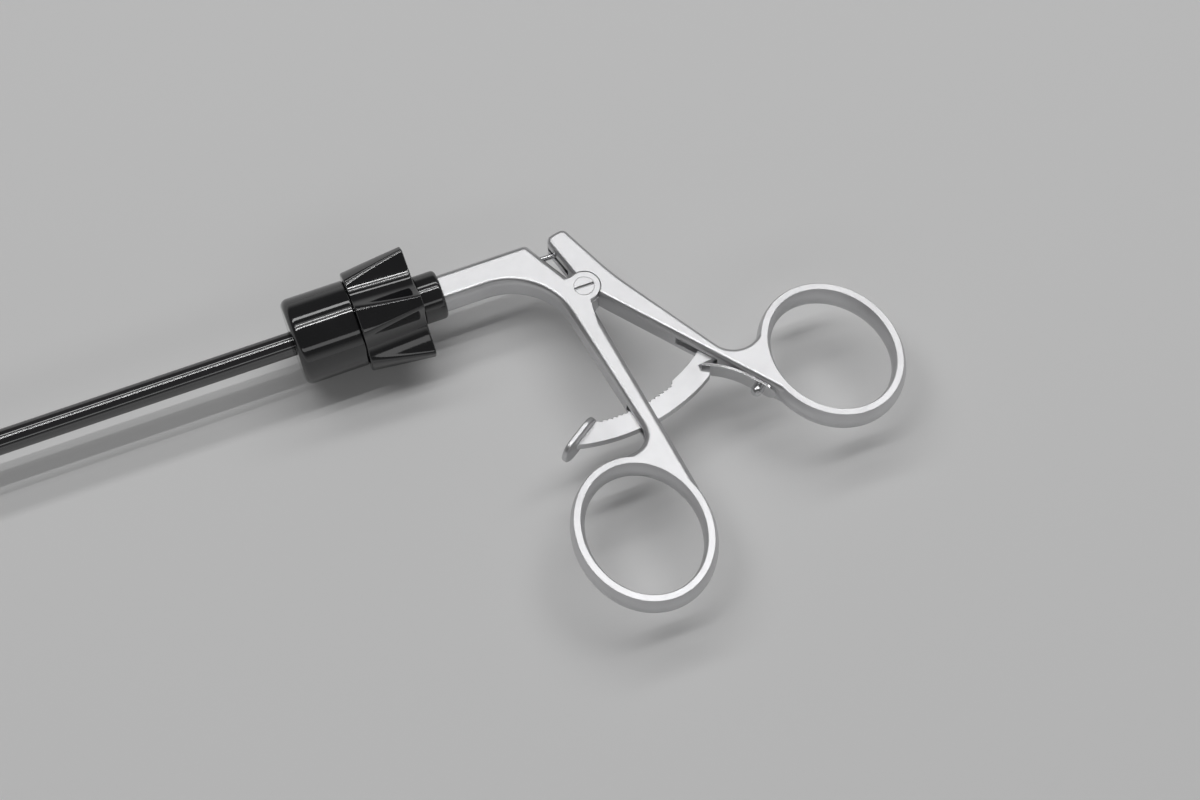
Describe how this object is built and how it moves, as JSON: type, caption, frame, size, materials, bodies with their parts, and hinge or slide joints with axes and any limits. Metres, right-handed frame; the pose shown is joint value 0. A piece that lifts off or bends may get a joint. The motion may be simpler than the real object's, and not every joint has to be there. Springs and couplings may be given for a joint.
{
  "type": "laparoscopic grasper",
  "caption": "Slim insulated shaft with opening serrated jaws, a winged rotation knob, and a two-ring steel handle with a toothed ratchet bar and release tab.",
  "frame": {"origin": "on the shaft's axis, at the front face of the rotation knob", "axes": "+X along the shaft from the jaws towards the handle, +Y in the plane of the handles away from the finger ring, +Z along the handle pivot"},
  "size_m": [0.4453, 0.0919, 0.023],
  "materials": {
    "satin_steel": "satin blasted and brushed stainless steel",
    "bright_steel": "fine brushed stainless steel",
    "black_plastic": "polished black moulded plastic",
    "black_sleeve": "glossy black insulation",
    "seal_rubber": "matte rubber"
  },
  "bodies": {
    "handle": {"fixed_handle": "satin_steel", "rear_collar": "black_plastic", "pivot_screw": "satin_steel"},
    "shaft": {"insulation_sleeve": "black_sleeve", "outer_tube": "bright_steel", "knob_cup": "black_plastic", "knob_wheel": "black_plastic", "shaft_hub": "bright_steel", "rod_seal": "seal_rubber", "hub_snap_ring": "bright_steel", "jaw_clevis": "satin_steel", "jaw_pin": "bright_steel"},
    "rod": {"pull_rod": "bright_steel", "rod_blade": "bright_steel", "drive_pin": "bright_steel", "rod_ball_end": "bright_steel"},
    "upper_jaw": {"upper_jaw": "satin_steel"},
    "lower_jaw": {"lower_jaw": "satin_steel"},
    "thumb": {"thumb_handle": "satin_steel", "leaf_spring": "bright_steel", "spring_screw": "bright_steel", "ratchet_pin": "bright_steel"},
    "ratchet": {"ratchet_bar": "bright_steel", "release_tab": "bright_steel"}
  },
  "joints": [
    {"name": "shaft_rotation", "type": "hinge", "parent": "handle", "child": "shaft", "pos_m": [0, 0, 0], "axis": [1, 0, 0], "continuous": true},
    {"name": "handle_pivot", "type": "hinge", "parent": "handle", "child": "thumb", "pos_m": [0.059, -0.0105, 0], "axis": [0, 0, 1], "range_deg": [-13, 13]},
    {"name": "rod_slide", "type": "slide", "parent": "shaft", "child": "rod", "axis": [1, 0, 0], "range_m": [-0.0024, 0.0024]},
    {"name": "upper_jaw_hinge", "type": "hinge", "parent": "shaft", "child": "upper_jaw", "pos_m": [-0.3115, 0, 0], "axis": [0, 0, 1], "range_deg": [-14.35, 14.35]},
    {"name": "lower_jaw_hinge", "type": "hinge", "parent": "shaft", "child": "lower_jaw", "pos_m": [-0.3115, 0, 0], "axis": [0, 0, 1], "range_deg": [-14.35, 14.35]},
    {"name": "ratchet_release", "type": "hinge", "parent": "thumb", "child": "ratchet", "pos_m": [0.0781, -0.033, 0], "axis": [0, 0, 1], "range_deg": [0, 1.5], "stiffness_Nm_per_rad": 0.3}
  ],
  "couplings": [
    {"joint": "rod_slide", "follows": "handle_pivot", "m_per_rad": -0.0105},
    {"joint": "upper_jaw_hinge", "follows": "handle_pivot", "ratio": -1.1},
    {"joint": "lower_jaw_hinge", "follows": "handle_pivot", "ratio": 1.1}
  ]
}
